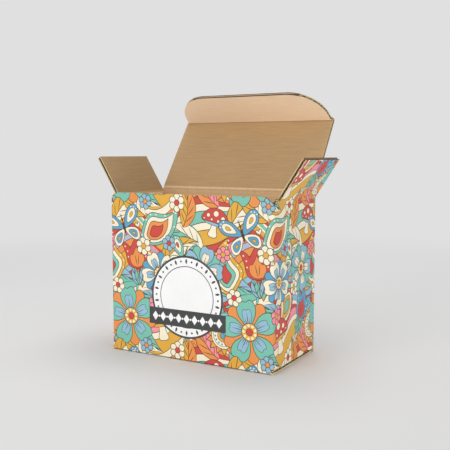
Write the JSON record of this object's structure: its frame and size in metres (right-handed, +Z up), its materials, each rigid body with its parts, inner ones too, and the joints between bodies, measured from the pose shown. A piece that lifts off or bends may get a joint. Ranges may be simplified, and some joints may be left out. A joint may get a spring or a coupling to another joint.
{
  "type": "corrugated mailer box",
  "caption": "Small printed corrugated box with tuck ends, standing open: the lid leans back with its round-cornered tuck flap bent forward, and the side dust flaps are spread.",
  "frame": {"origin": "middle of the base, on the surface that the box stands on", "axes": "+Z up, +X to the right along the front panel, +Y towards the back panel that carries the lid"},
  "size_m": [0.2007, 0.1259, 0.2262],
  "materials": {
    "printed_board": "kraft board, printed outside in flat bright colours under a soft varnish",
    "kraft_board": "plain brown kraft board, matt"
  },
  "bodies": {
    "box_body": {"box_body": "printed_board"},
    "lid": {"lid": "printed_board"},
    "tuck_flap": {"tuck_flap": "printed_board"},
    "right_dust_flap": {"right_dust_flap": "printed_board"},
    "left_dust_flap": {"left_dust_flap": "printed_board"},
    "bottom_lid": {"bottom_lid": "kraft_board"},
    "bottom_tuck": {"bottom_tuck": "kraft_board"}
  },
  "joints": [
    {"name": "lid_crease", "type": "hinge", "parent": "box_body", "child": "lid", "pos_m": [0, 0.0395, 0.1402], "axis": [1, 0, 0], "range_deg": [-45, 125.4]},
    {"name": "tuck_crease", "type": "hinge", "parent": "lid", "child": "tuck_flap", "pos_m": [0, 0.08335, 0.20191], "axis": [1, 0, 0], "range_deg": [-8, 22]},
    {"name": "right_dust_crease", "type": "hinge", "parent": "box_body", "child": "right_dust_flap", "pos_m": [0.0775, 0, 0.1348], "axis": [0, -1, 0], "range_deg": [-50, 123.5]},
    {"name": "left_dust_crease", "type": "hinge", "parent": "box_body", "child": "left_dust_flap", "pos_m": [-0.0775, 0, 0.1348], "axis": [0, 1, 0], "range_deg": [-50, 121.8]},
    {"name": "bottom_lid_crease", "type": "hinge", "parent": "box_body", "child": "bottom_lid", "pos_m": [0, -0.0395, 0.0015], "axis": [-1, 0, 0], "range_deg": [0, 60]},
    {"name": "bottom_tuck_crease", "type": "hinge", "parent": "bottom_lid", "child": "bottom_tuck", "pos_m": [0, 0.0362, 0.0015], "axis": [-1, 0, 0], "range_deg": [-54.5, 0]}
  ],
  "couplings": [
    {"joint": "tuck_crease", "follows": "lid_crease", "ratio": 0.175},
    {"joint": "bottom_tuck_crease", "follows": "bottom_lid_crease", "ratio": -0.9}
  ]
}
